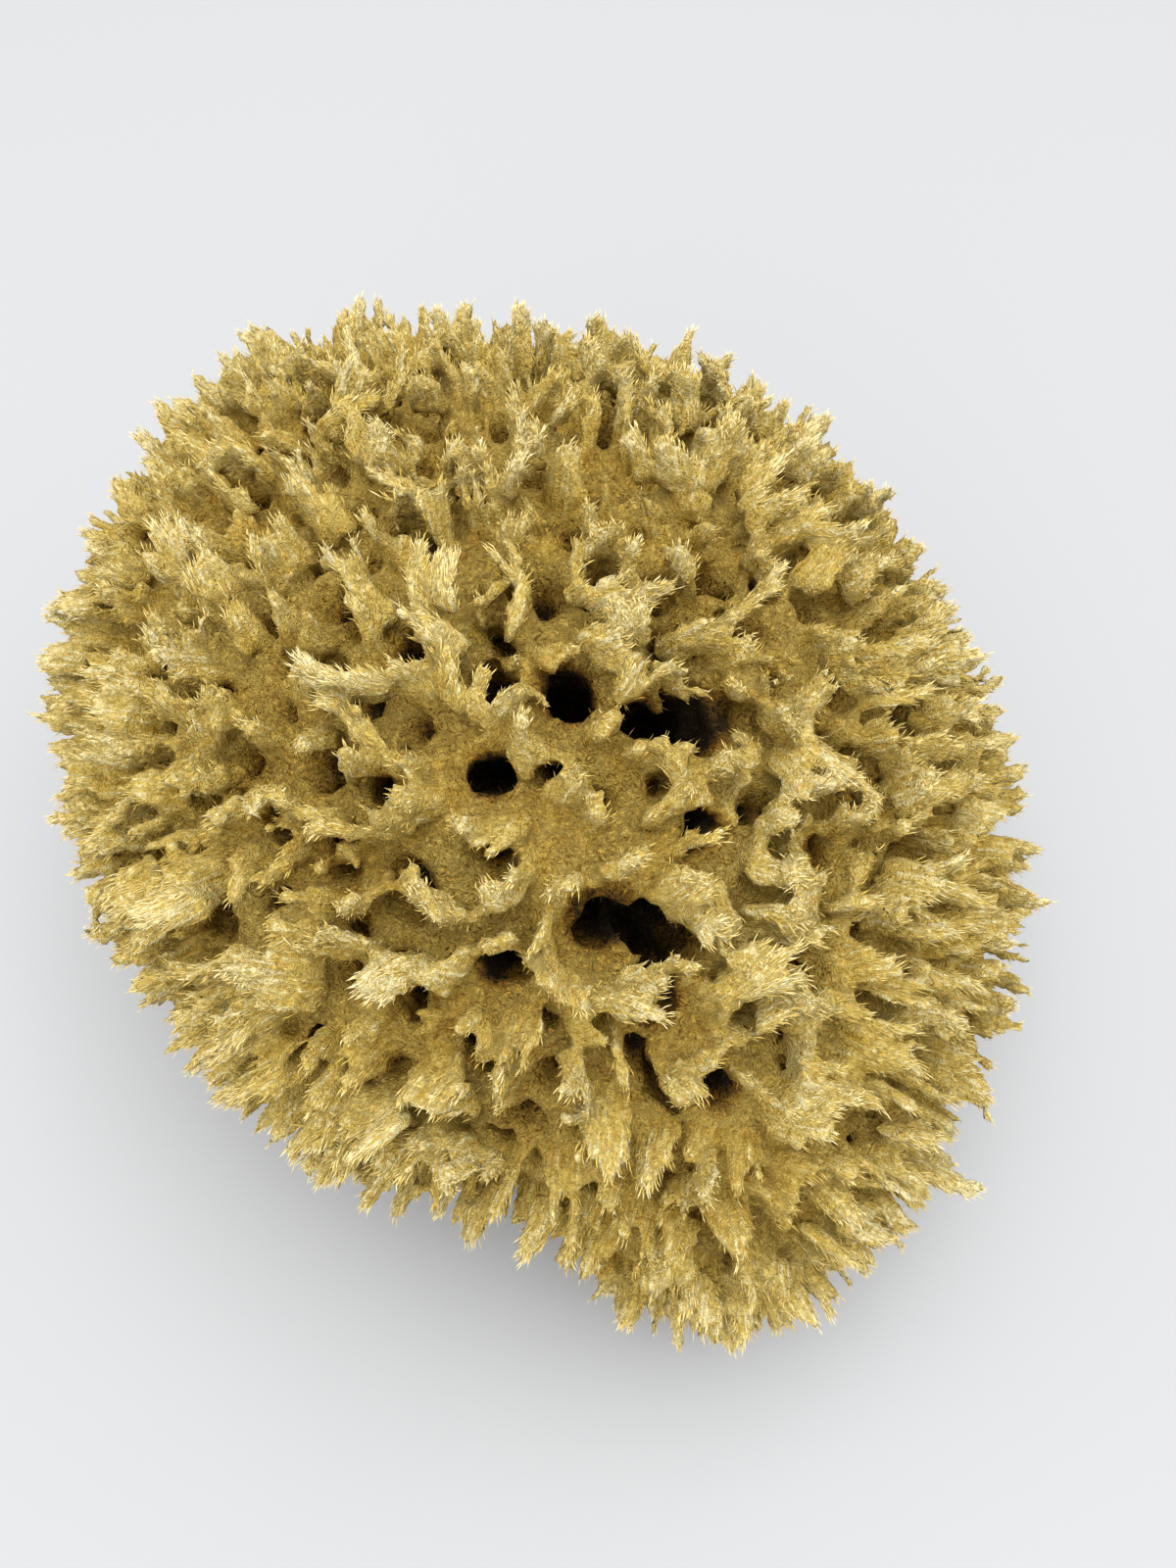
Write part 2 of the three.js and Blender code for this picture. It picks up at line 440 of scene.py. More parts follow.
    def join_tufts(self, chance):
        """Walls between neighbouring tufts, which close the hollows between them into small pores."""
        waist = self.top - self.stem * WALL_DEPTH
        mouths = np.concatenate((self.dome.point(self.pore_directions), self.dome.point(self.pit_directions)))
        radii = np.concatenate((self.pore_radii + 1.5 * MM, self.pit_radii + 0.8 * MM))
        pairs = []
        for first, place in enumerate(self.points):
            gap = np.linalg.norm(self.points[first + 1:] - place, axis=1)
            pairs += [(first, first + 1 + other) for other in np.flatnonzero(gap < WALL_SPAN)]
        first, second = np.array(pairs).T
        middle = (self.points[first] + self.points[second]) / 2
        clear = chance.uniform(0, 1, len(first)) < WALL_SHARE
        for mouth, radius in zip(mouths, radii):
            clear &= np.linalg.norm(middle - mouth, axis=1) > radius
        first, second, middle = first[clear], second[clear], middle[clear]
        sag = chance.uniform(0.5, 3.5, (len(first), 1)) * MM
        inward = -unit(self.normals[first] + self.normals[second])
        self.wall_start = waist[first] + inward * sag * 0.5
        self.wall_end = waist[second] + inward * sag * 0.5
        self.wall_bend = (self.wall_start + self.wall_end) / 2 + inward * sag
        self.wall_side = np.cross(self.wall_end - self.wall_start, inward)
        self.wall_thickness = np.repeat(chance.uniform(0.7, 1.2, (len(first), 1)) * MM, 2, axis=1)

    def press_on_floor(self):
        """Fingers that would reach under the cut lie flat on the floor."""
        floor = CAD_LOW[2] + 0.6 * MM
        for points in (self.start, self.bend, self.tip):
            points[:, 2] = np.maximum(points[:, 2], floor)


# ---- mesh helpers -------------------------------------------------------------------------------


def strand_template(sides, rings):
    """Points and triangles of a closed strand along +Z, one long, that ends in a point."""
    bm = bmesh.new()
    bmesh.ops.create_cone(bm, cap_ends=True, segments=sides, radius1=1, radius2=0, depth=1)
    bmesh.ops.translate(bm, verts=bm.verts[:], vec=(0, 0, 0.5))
    for ring in range(1, rings):
        level = (0, 0, ring / rings)
        everything = bm.verts[:] + bm.edges[:] + bm.faces[:]
        bmesh.ops.bisect_plane(bm, geom=everything, plane_co=level, plane_no=(0, 0, 1))
    bmesh.ops.triangulate(bm, faces=bm.faces[:])
    points, faces = taken_out(bm)
    below_tip = points[:, 2] < 1 - 0.5 / rings
    points[below_tip, :2] /= 1 - points[below_tip, 2:]
    return points, faces


def ball_template():
    """Points and triangles of a closed ball of radius one."""
    bm = bmesh.new()
    bmesh.ops.create_icosphere(bm, subdivisions=3, radius=1)
    return taken_out(bm)


def taken_out(bm):
    """Points and triangles of a bmesh, which is then freed."""
    bm.verts.index_update()
    points = np.array([v.co for v in bm.verts])
    faces = np.array([[v.index for v in f.verts] for f in bm.faces])
    bm.free()
    return points, faces


def stamp(template, start, bend, tip, side, thick, flat):
    """Copies of a strand, each bent along its own curve; returns (copies, points, 3) places."""
    points = template[0]
    s = points[:, 2][None, :, None]
    path = (1 - s) ** 2 * start[:, None] + 2 * s * (1 - s) * bend[:, None] + s ** 2 * tip[:, None]
    along = unit((1 - s) * (bend - start)[:, None] + s * (tip - bend)[:, None] + 1e-9)
    wide = unit(side[:, None] - along * dot(side[:, None], along))
    deep = np.cross(along, wide)
    radius = thick[:, None, :1] * (1 - s) + thick[:, None, 1:] * s
    return path + wide * radius * points[None, :, :1] + deep * radius * flat * points[None, :, 1:2]


def to_mesh(bm, name):
    """A bmesh as a mesh; the bmesh is then freed."""
    mesh = bpy.data.meshes.new(name)
    bm.to_mesh(mesh)
    bm.free()
    return mesh


def read(items, name, width, kind=np.float32):
    """One property of all the vertices, edges or faces of a mesh, as rows of a width."""
    values = np.empty(len(items) * width, kind)
    items.foreach_get(name, values)
    return values.reshape(-1, width)


def joined(name, places, faces):
    """One mesh of many stamped copies."""
    copies, corners = places.shape[:2]
    mesh = bpy.data.meshes.new(name)
    mesh.vertices.add(copies * corners)
    mesh.vertices.foreach_set("co", places.astype(np.float32).ravel())
    all_faces = (faces[None] + (np.arange(copies) * corners)[:, None, None]).reshape(-1, 3)
    mesh.loops.add(all_faces.size)
    mesh.loops.foreach_set("vertex_index", all_faces.astype(np.int32).ravel())
    mesh.polygons.add(len(all_faces))
    mesh.polygons.foreach_set("loop_start", np.arange(0, all_faces.size, 3, dtype=np.int32))
    mesh.update(calc_edges=True)
    mesh.validate()
    return mesh


def link(name, mesh):
    """Puts a mesh into the scene as an object at the origin."""
    piece = bpy.data.objects.new(name, mesh)
    bpy.context.scene.collection.objects.link(piece)
    return piece


def attach(piece, material):
    """Finishes a piece: material and body, and hides the node that it stands for."""
    piece.data.materials.clear()
    piece.data.materials.append(material)
    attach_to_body(piece, BODY)
    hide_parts(NODE)
    return piece


# ---- body ---------------------------------------------------------------------------------------


def lump_mesh(growth, shape):
    """The felted mass under the tufts: the dome, sunk to the valleys, with a dip at every pit."""
    dome = growth.dome
    bm = bmesh.new()
    bmesh.ops.create_icosphere(bm, subdivisions=7, radius=1)
    directions = unit(np.array([v.co for v in bm.verts]))
    surface = dome.point(directions)
    sink = np.full(len(directions), shape.valley_depth)
    for direction, radius in zip(growth.pit_directions, growth.pit_radii):
        gap = np.linalg.norm(surface - dome.point(direction[None]), axis=1)
        dip = np.clip(1.25 - gap / (radius * 1.7), 0, 1)
        sink += dip * dip * (3 - 2 * dip) * (4 * MM + radius * 1.2)
    sink += np.array([noise.noise(Vector(p) / (9 * MM)) for p in surface]) * 1.6 * MM
    places = dome.point(directions) - directions * sink[:, None]
    for vert, place in zip(bm.verts, places):
        vert.co = place
    return to_mesh(bm, "lump")


def wells(template, mouths, outward, radii, span):
    """Places of closed, stretched balls that reach from top to bottom below their mouths."""
    top, bottom = span
    points = template[0][None]
    side = unit(np.cross(outward, ASKEW))
    over = np.cross(outward, side)
    middle = mouths - outward * (top + bottom) / 2
    sideways = side[:, None] * points[:, :, :1] + over[:, None] * points[:, :, 1:2]
    along = outward[:, None] * points[:, :, 2:] * (bottom - top) / 2
    return middle[:, None] + sideways * radii[:, None, None] + along


def cut_pits(template, chance):
    """Places of the small pits all over the cut."""
    turn = chance.uniform(0, 2 * math.pi, CUT_PITS)
    far = np.sqrt(chance.uniform(0, 1, CUT_PITS))
    x = np.cos(turn) * far * CAD_HIGH[0] * CUT_PITS_WITHIN
    y = np.sin(turn) * far * CAD_HIGH[1] * CUT_PITS_WITHIN
    mouths = np.stack((x, y, np.full(CUT_PITS, CAD_LOW[2])), axis=1)
    heading = unit(np.array((0.0, 0.0, -1.0)) + chance.normal(0, 0.3, (CUT_PITS, 3)))
    return wells(template, mouths, heading, chance.uniform(0.9, 2.0, CUT_PITS) * MM, CUT_PIT_SPAN)


def pore_cutters(growth, voxel):
    """Cutters for the large pores, the pits, and the canals that the cut laid open."""
    dome = growth.dome
    chance = np.random.default_rng(5)
    template = ball_template()
    axes = np.repeat(growth.pore_directions, BALLS_IN_PORE, axis=0)
    radii = np.repeat(growth.pore_radii, BALLS_IN_PORE)
    count = len(radii)
    shift = chance.normal(0, 0.4, (count, 3)) * radii[:, None]
    heading = unit(axes + chance.normal(0, 0.04, (count, 3)))
    radii = radii * chance.uniform(0.45, 0.75, count)
    pores = wells(template, dome.point(axes) + shift, heading, radii, PORE_SPAN)
    axes = growth.pit_directions
    heading = unit(axes + chance.normal(0, 0.15, axes.shape))
    radii = growth.pit_radii * chance.uniform(0.7, 1.0, len(axes))
    pits = wells(template, dome.point(axes), heading, radii, PIT_SPAN)
    canal = np.array(CUT_CANALS, float) * MM
    places = np.column_stack((canal[:, :2], np.full(len(canal), CAD_LOW[2])))
    down = np.tile((0.0, 0.0, -1.0), (len(canal), 1))
    canals = wells(template, places, down, canal[:, 2] / 2, CANAL_SPAN)
    places = np.concatenate((pores, pits, canals, cut_pits(template, chance)))
    wander = [noise.noise_vector(place) for place in (places.reshape(-1, 3) / (WANDER[0] * MM)).tolist()]
    places = places + np.array(wander).reshape(places.shape) * WANDER[1] * MM
    cutter = link("pore_cutters", joined("pore_cutters", places, template[1]))
    fuse_skin(cutter, voxel, 1)
    return cutter


def block(name, face, way):
    """A cube, wider than the sponge, that stands on one side of a point: way is its unit direction."""
    size = 0.5
    bm = bmesh.new()
    bmesh.ops.create_cube(bm, size=size)
    bmesh.ops.translate(bm, verts=bm.verts[:], vec=Vector(face) + Vector(way) * size / 2)
    return link(name, to_mesh(bm, name))


def finger_mesh(growth):
    """Every lobe of every tuft as one mesh of closed strands."""
    template = strand_template(*LOBE_DETAIL)
    places = stamp(template, growth.start, growth.bend, growth.tip, growth.side, growth.thickness, 0.75)
    return joined("fingers", places, template[1])


def wall_mesh(growth):
    """Every wall between two tufts as one mesh of upright bands."""
    template = strand_template(*LOBE_DETAIL)
    places = stamp(
        template, growth.wall_start, growth.wall_bend, growth.wall_end,
        growth.wall_side, growth.wall_thickness, 3.2,
    )
    return joined("walls", places, template[1])


def roughen(mesh, amount, lump):
    """Pushes the skin in and out in felted lumps."""
    co, normals = read(mesh.vertices, "co", 3), read(mesh.vertex_normals, "vector", 3)
    push = np.array([noise.turbulence(place, 2, False) for place in (co / lump).tolist()])
    push = (push - push.mean()) * amount * np.clip((co[:, 2] - CAD_LOW[2]) / (2 * MM), 0, 1)
    mesh.vertices.foreach_set("co", (co + normals * push[:, None]).ravel())
    mesh.update()


def merge_meshes(name, meshes):
    """Several meshes as one."""
    bm = bmesh.new()
    for mesh in meshes:
        bm.from_mesh(mesh)
    return to_mesh(bm, name)


def fuse_skin(piece, voxel, passes):
    """Fuses overlapping closed shapes into one skin and softens it."""
    fuse = piece.modifiers.new("fuse", "REMESH")
    fuse.mode = "VOXEL"
    fuse.voxel_size = voxel
    fuse.use_smooth_shade = True
    soften = piece.modifiers.new("soften", "SMOOTH")
    soften.factor = 0.5
    soften.iterations = passes


def cut_away(piece, cutter):
    """Takes a closed cutter away from a closed skin."""
    cut = piece.modifiers.new(cutter.name, "BOOLEAN")
    cut.operation = "DIFFERENCE"
    cut.solver = "MANIFOLD"
    cut.object = cutter


def apply_modifiers(piece):
    """Gives a piece the mesh that its modifiers make, and takes them off."""
    graph = bpy.context.evaluated_depsgraph_get()
    mesh = bpy.data.meshes.new_from_object(piece.evaluated_get(graph))
    piece.modifiers.clear()
    piece.data = mesh


def triangle_count(mesh):
    """Number of triangles that the mesh's faces make."""
    return sum(len(face.vertices) - 2 for face in mesh.polygons)


def connected_parts(mesh):
    """A number for each vertex that is shared by every vertex it is connected to."""
    first, second = read(mesh.edges, "vertices", 2, np.int32).T
    part = np.arange(len(mesh.vertices))
    while True:
        lowest = np.minimum(part[first], part[second])
        lowered = part.copy()
        for place in (first, second, part[first], part[second]):
            np.minimum.at(lowered, place, lowest)
        lowered = lowered[lowered]
        if (lowered == part).all():
            return part
        part = lowered


def drop_crumbs(mesh):
    """Leaves only the largest connected part of a mesh."""
    part = connected_parts(mesh)
    crumb = part != np.bincount(part).argmax()
    bm = bmesh.new()
    bm.from_mesh(mesh)
    loose = [vert for vert, drop in zip(bm.verts, crumb.tolist()) if drop]
    bmesh.ops.delete(bm, geom=loose, context="VERTS")
    bm.to_mesh(mesh)
    bm.free()


def grow_body(growth, shape):
    """The sponge's body, from its lump and fingers to one closed skin."""
    parts = [lump_mesh(growth, shape), finger_mesh(growth), wall_mesh(growth)]
    raw = link("sponge_body", merge_meshes("raw", parts))
    cutters = [
        pore_cutters(growth, shape.voxel), block("floor_cutter", (0, 0, CAD_LOW[2]), (0, 0, -1)),
    ]
    fuse_skin(raw, shape.voxel, 1)
    cut_away(raw, cutters[0])
    fuse_skin(raw, shape.voxel, shape.soften)
    cut_away(raw, cutters[1])
    apply_modifiers(raw)
    roughen(raw.data, shape.felt_relief, shape.felt_lump)
    ratio = shape.body_triangles / triangle_count(raw.data)
    if ratio < 1:
        thin = raw.modifiers.new("thin", "DECIMATE")
        thin.ratio = ratio
        apply_modifiers(raw)
    drop_crumbs(raw.data)
    for cutter in cutters:
        bpy.data.objects.remove(cutter)
    raw.data.name = "sponge_body"
    raw.data.polygons.foreach_set("use_smooth", [True] * len(raw.data.polygons))
    return raw


def sharpen_parting(mesh, split):
    """Keeps the hidden faces of the parting plane out of the shading of the skin."""
    on_plane = np.abs(read(mesh.vertices, "co", 3)[:, 1] - split) < 0.001 * MM
    edges = read(mesh.edges, "vertices", 2, np.int32)
    mesh.edges.foreach_set("use_edge_sharp", on_plane[edges].all(axis=1))


def part_body(body):
    """Two closed halves of the body with about as many faces each, so that neither is too heavy."""
    split = float(np.median(read(body.data.polygons, "center", 3)[:, 1]))
    halves = []
    for name, side in (("sponge_front", 1), ("sponge_back", -1)):
        other_side = block("other_side", (0, split, 0), (0, side, 0))
        half = link(name, body.data.copy())
        cut_away(half, other_side)
        apply_modifiers(half)
        half.data.name = name
        bpy.data.objects.remove(other_side)
        sharpen_parting(half.data, split)
        halves.append(half)
    bpy.data.objects.remove(body)
    return halves


# ---- fibres -------------------------------------------------------------------------------------

PIECE_TRIANGLES = 199000


def canal_share(growth, points):
    """How far inside a pore points are, sideways: 1 on its axis, 0 past its rim; it weights painted pore
    shade.
    """
    axes = np.concatenate((growth.pore_directions, growth.pit_directions))
    radii = np.concatenate((growth.pore_radii, growth.pit_radii * 0.9))
    strength = np.concatenate((np.ones(len(growth.pore_radii)), np.full(len(growth.pit_radii), 0.45)))
    out = points - growth.dome.core
    far = np.linalg.norm(out, axis=1)
    share = np.zeros(len(points))
    batch = 20000
    for first in range(0, len(points), batch):
        part = slice(first, first + batch)
        cosine = (out[part] / far[part, None]) @ axes.T
        sideways = far[part, None] * np.sqrt(np.maximum(1 - cosine ** 2, 0))
        inside = np.clip((0.95 - sideways / radii) / 0.35, 0, 1) * strength * (cosine > 0)
        share[part] = inside.max(axis=1)
    return share


def tone_with_painted_shade_at(growth, points):
    """Lightness 0 to 1: pale tuft tips, ochre and painted shade in valleys, painted shade near black in
    pores.
    """
    depth = growth.dome.depth(points)
    shade = np.interp(depth, PORE_SHADE_DEPTHS, PORE_PAINTED_SHADES)
    return np.interp(depth, TONE_DEPTHS, TONES_WITH_PAINTED_SHADE) - canal_share(growth, points) * shade


def store_grain(growth, mesh):
    """Keeps each point's lightness, how combed it is and its place in its tuft as attributes."""
    points = read(mesh.vertices, "co", 3).astype(float)
    places, combed = growth.grain(points)
    for name, values in (("tone", tone_with_painted_shade_at(growth, points)), ("combed", combed)):
        mesh.attributes.new(name, "FLOAT", "POINT").data.foreach_set("value", values.astype(np.float32))
    grain = mesh.attributes.new("grain", "FLOAT_VECTOR", "POINT")
    grain.data.foreach_set("vector", places.astype(np.float32).ravel())


def fibre_piece(name, root, bend, tip, width, tone, template):
    """One piece of closed tapering strands, with a UV map of tone across and length along."""
    side = unit(np.cross(tip - root, (0.37, 0.61, 0.7)))
    thick = np.stack((width, width * 0.55), axis=1)
    places = stamp(template, root, bend, tip, side, thick, 1.0)
    mesh = joined(name, places, template[1])
    coat_map = mesh.uv_layers.new(name="OFBake")
    corner_height = template[0][template[1].ravel(), 2]
    corner_across = template[0][template[1].ravel(), 0] * 0.004
    uv = np.empty((len(tone), len(corner_height), 2), np.float32)
    uv[:, :, 0] = np.clip(tone, 0.01, 0.99)[:, None] + corner_across[None]
    uv[:, :, 1] = 0.02 + 0.96 * corner_height[None]
    coat_map.data.foreach_set("uv", uv.ravel())
    return link(name, mesh)


def in_pieces(name, fibres, rings):
    """The strands split over as many pieces as their number needs."""
    template = strand_template(3, rings)
    most = PIECE_TRIANGLES // len(template[1])
    pieces = []
    for number, first in enumerate(range(0, len(fibres[4]), most)):
        part = [column[first:first + most] for column in fibres]
        pieces.append(fibre_piece(f"{name}_{number + 1}", *part, template))
    return pieces


def skin_samples(mesh, chance, count, prefer):
    """Random places and normals on a mesh, with each triangle's area weighted by prefer."""
    mesh.calc_loop_triangles()
    triangles = read(mesh.loop_triangles, "vertices", 3, np.int32)
    corners = read(mesh.vertices, "co", 3)[triangles].astype(float)
    cross = np.cross(corners[:, 1] - corners[:, 0], corners[:, 2] - corners[:, 0])
    area = np.linalg.norm(cross, axis=1) / 2
    weight = area * prefer(corners.mean(axis=1), unit(cross))
    chosen = chance.choice(len(area), size=count, p=weight / weight.sum())
    a, b = chance.uniform(0, 1, (2, count, 1))
    flip = a + b > 1
    a, b = np.where(flip, 1 - a, a), np.where(flip, 1 - b, b)
    base = corners[chosen, 0]
    place = base + (corners[chosen, 1] - base) * a + (corners[chosen, 2] - base) * b
    return place, unit(cross[chosen])


def fringe_strands(growth, coat, body, chance):
    """Roots, bends, tips, widths and tones of the curled strands that edge the tufts."""
    dome = growth.dome
    count = coat.fringe_strands

    def prefer(points, normals):
        depth = dome.depth(points)
        upward = dot(normals, unit(points - dome.core))[:, 0]
        high = np.interp(depth, np.array((0, 2, 5, 9)) * MM, (3.0, 2.0, 0.8, 0.0))
        return high * np.interp(upward, (-0.2, 0.9), (0.25, 1.5)) * (points[:, 2] > CAD_LOW[2] + 1 * MM)

    root, normal = skin_samples(body.data, chance, count, prefer)
    ends = growth.lay(root)
    swirl = np.array([noise.noise_vector(place) for place in (root / (5 * MM)).tolist()])
    heading = unit(ends + normal * 0.3 + chance.normal(0, 0.12, (count, 3)))
    reach = chance.uniform(coat.fringe_low, coat.fringe_high, (count, 1))
    bend = root + heading * reach * 0.55
    tip = bend + unit(heading + swirl * 1.2 + chance.normal(0, 0.15, (count, 3))) * reach * 0.5
    root = root - heading * 0.3 * MM
    for points in (root, bend, tip):
        points[:, 2] = np.maximum(points[:, 2], CAD_LOW[2] + 0.3 * MM)
    width = chance.uniform(0.7, 1.3, count) * coat.fringe_width / 2
    # Tone from the depth ramp, with its painted shade in valleys and pores.
    tone = tone_with_painted_shade_at(growth, root) + chance.normal(0.05, 0.05, count)
    return root, bend, tip, width, tone


def felt_fuzz(growth, coat, body, chance):
    """Roots, bends, tips, widths and tones of the fine short fibres that cover the whole skin."""
    dome = growth.dome
    count = coat.felt_fibres

    def prefer(points, normals):
        shallow = np.interp(dome.depth(points), np.array((0, 3, 8, 16, 26)) * MM, (1.3, 1.2, 1.0, 0.5, 0.05))
        return shallow * (points[:, 2] > CAD_LOW[2] + 1 * MM)

    root, normal = skin_samples(body.data, chance, count, prefer)
    lay = unit(growth.lay(root) + chance.normal(0, 0.15, (count, 3)))
    depth = dome.depth(root)
    tangle = np.interp(depth, np.array((3, 10)) * MM, (0.25, 0.7))[:, None]
    heading = unit(lay + normal * 0.35 + chance.normal(0, 1, (count, 3)) * tangle)
    reach = chance.uniform(coat.felt_low, coat.felt_high, (count, 1))
    tip = root + heading * reach
    tip[:, 2] = np.maximum(tip[:, 2], CAD_LOW[2] + 0.1 * MM)
    width = chance.uniform(0.75, 1.2, count) * coat.felt_width / 2
    # Tone from the depth ramp, with its painted shade in valleys and pores.
    tone = tone_with_painted_shade_at(growth, root) + chance.normal(0.02, 0.1, count)
    root = root - normal * 0.1 * MM
    root[:, 2] = np.maximum(root[:, 2], CAD_LOW[2] + 0.1 * MM)
    return root, (root + tip) / 2, tip, width, tone


# ---- shader expressions -------------------------------------------------------------------------


class Value:
    """A number socket of a material that can be used in Python expressions."""

    def __init__(self, recipe, socket):
        self.recipe = recipe
        self.socket = socket

    def _math(self, operation, first, second):
        node = self.recipe.add("ShaderNodeMath", {"operation": operation}, {0: first, 1: second})
        return Value(self.recipe, node.outputs[0])

    def __add__(self, other):
        return self._math("ADD", self, other)

    def __sub__(self, other):
        return self._math("SUBTRACT", self, other)

    def __rsub__(self, other):
        return self._math("SUBTRACT", other, self)

    def __mul__(self, other):
        return self._math("MULTIPLY", self, other)

    __radd__ = __add__
    __rmul__ = __mul__


class Recipe:
    """One material and the nodes that make it."""

    def __init__(self, name):
        self.material = bpy.data.materials.new(name)
        self.material.use_nodes = True
        self.tree = self.material.node_tree
        self.shader = self.tree.nodes["Principled BSDF"]

    def add(self, kind, settings, inputs):
        """A node with its settings, then its socket values or links."""
        node = self.tree.nodes.new(kind)
        for name, value in settings.items():
            if name == "ramp":
                self.set_ramp(node.color_ramp, value)
            else:
                setattr(node, name, value)
        for key, value in inputs.items():
            self.feed(node.inputs[key], value)
        return node

    def feed(self, socket, value):
        """Links a socket or sets its value."""
        if isinstance(value, Value):
            value = value.socket
        if isinstance(value, bpy.types.NodeSocket):
            self.tree.links.new(value, socket)
        else:
            socket.default_value = value

    def set_ramp(self, ramp, stops):
        """Gives a colour ramp its stops: (place, colour)."""
        while len(ramp.elements) > 1:
            ramp.elements.remove(ramp.elements[-1])
        ramp.elements[0].position, ramp.elements[0].color = stops[0]
        for place, colour in stops[1:]:
            ramp.elements.new(place).color = colour

    def value(self, kind, settings, inputs, output=0):
        """A node's output as a number for expressions."""
        return Value(self, self.add(kind, settings, inputs).outputs[output])

    def streaks(self, width, detail):
        """Streaks of a width in metres that run along the tufts."""
        place = self.add("ShaderNodeAttribute", {"attribute_name": "grain"}, {}).outputs["Vector"]
        return self.value("ShaderNodeTexNoise", {}, {
            "Vector": place, "Scale": 1 / width, "Detail": detail, "Roughness": 0.6,
        })

    def ridges(self, lumps):
        """Thin bright lines where a noise crosses its middle."""
        away = self.value("ShaderNodeMath", {"operation": "ABSOLUTE"}, {0: (lumps - 0.5) * 5.0})
        return 1.0 - away

    def noise(self, scale, detail=2.0, roughness=0.5, distortion=0.0):
        """Noise on the piece's own coordinates, scale in lumps per metre."""
        place = self.add("ShaderNodeTexCoord", {}, {}).outputs["Object"]
        return self.value("ShaderNodeTexNoise", {}, {
            "Vector": place, "Scale": scale, "Detail": detail, "Roughness": roughness,
            "Distortion": distortion,
        })


def fibre_stops(colours):
    """The colours from deep in a pore to the tip of a tuft; the low stops are partly or wholly painted shade.
    """
    return [
        (0.0, (*colours.pore, 1)), (0.3, (*colours.depth, 1)), (0.58, (*colours.flank, 1)),
        (0.82, (*colours.tuft, 1)), (1.0, (*colours.tip, 1)),
    ]


def body_material(colours):
    """Felted fibre: tone and painted shade from depth, brushed outwards on the tufts, tangled in the valleys.
    """
    recipe = Recipe("felted_fibre")
    tone = recipe.value("ShaderNodeAttribute", {"attribute_name": "tone"}, {}, "Fac")
    combed = recipe.value("ShaderNodeAttribute", {"attribute_name": "combed"}, {}, "Fac")
    patches = recipe.noise(70, 3.0)
    brushed = recipe.streaks(0.0006, 3.0)
    tangle = recipe.ridges(recipe.noise(900, 3.0, 0.6, 1.5))
    # The dark gaps of the streaks and tangled lines are fibre grain and also painted shade between the
    # fibres.
    grain = (brushed - 0.5) * combed * 1.1 + (tangle - 0.5) * (0.45 - combed * 0.3)
    shade = tone + (patches - 0.5) * 0.3 + grain
    ramp = recipe.add("ShaderNodeValToRGB", {"ramp": fibre_stops(colours)}, {"Fac": shade})
    recipe.feed(recipe.shader.inputs["Base Color"], ramp.outputs["Color"])
    recipe.feed(recipe.shader.inputs["Roughness"], 0.8 + (brushed - 0.5) * 0.3)
    relief = recipe.add("ShaderNodeBump", {}, {
        "Strength": 1.0, "Distance": 0.0015, "Height": tangle * (0.7 - combed * 0.4) + brushed * combed,
    })
    recipe.feed(recipe.shader.inputs["Normal"], relief.outputs["Normal"])
    finish_fibre(recipe)
    return recipe.material


def finish_fibre(recipe):
    """What every fibre surface shares: dull, faintly silky."""
    recipe.shader.inputs["Specular IOR Level"].default_value = 0.04
    recipe.shader.inputs["Sheen Weight"].default_value = 0.05
    recipe.shader.inputs["Sheen Roughness"].default_value = 0.4
    recipe.shader.inputs["Sheen Tint"].default_value = (1.0, 0.8, 0.4, 1)


def strand_material(name, colours, lift):
    """Single fibres: tone, with its painted shade, across the map, lighter towards their tips."""
    recipe = Recipe(name)
    place = recipe.add("ShaderNodeUVMap", {"uv_map": "OFBake"}, {})
    split = recipe.add("ShaderNodeSeparateXYZ", {}, {0: place.outputs["UV"]})
    tone, height = Value(recipe, split.outputs["X"]), Value(recipe, split.outputs["Y"])
    shade = tone + (height - 0.6) * lift
    ramp = recipe.add("ShaderNodeValToRGB", {"ramp": fibre_stops(colours)}, {"Fac": shade})
    recipe.feed(recipe.shader.inputs["Base Color"], ramp.outputs["Color"])
    recipe.feed(recipe.shader.inputs["Roughness"], 0.75 - tone * 0.2)
    finish_fibre(recipe)
    return recipe.material


# ---- settings -----------------------------------------------------------------------------------


def length(name, description, default):
    """A length property in metres."""
    return bpy.props.FloatProperty(
        name=name, description=description, default=default, min=0.0, unit="LENGTH", precision=5,
    )


def number(name, description, default, least):
    """A whole number of passes, triangles or strands."""
    return bpy.props.IntProperty(name=name, description=description, default=default, min=least)


def strength(name, description, default):
    """A plain number: a power in watts, a focal length in mm or a light's strength."""
    return bpy.props.FloatProperty(name=name, description=description, default=default, min=0.0)


def colour(name, description, default):
    """A colour property."""
    return bpy.props.FloatVectorProperty(
        name=name, description=description, default=default, subtype="COLOR", min=0, max=1, size=3,
    )


class SpongeShape(bpy.types.PropertyGroup):
    """Sizes of the tufts, pits and skin."""

    pit_gap: length("Pit Gap", "Closest distance between small pits", 7.8 * MM)
    tuft_gap: length("Tuft Gap", "Closest distance between tufts", 5.6 * MM)
    lowest_tuft: length("Lowest Tuft", "Tufts start this far above the cut", 5 * MM)
    tuft_low: length("Shortest Tuft", "Height of the shortest tuft over its valley", 9 * MM)
    tuft_high: length("Tallest Tuft", "Height of the tallest tuft over its valley", 15 * MM)
    valley_depth: length("Valley Depth", "Depth of the valleys under the tuft tips", 12 * MM)
    voxel: length("Skin Grain", "Cell size of the fused skin", 0.6 * MM)
    felt_relief: length("Felt Relief", "Height of the felted lumps on the skin", 0.65 * MM)
    felt_lump: length("Felt Lump", "Size of the felted lumps on the skin", 1.9 * MM)
    soften: number("Soften", "Smoothing passes over the fused skin", 2, 0)
    body_triangles: number("Body Triangles", "Triangles left in the body", 340000, 1000)


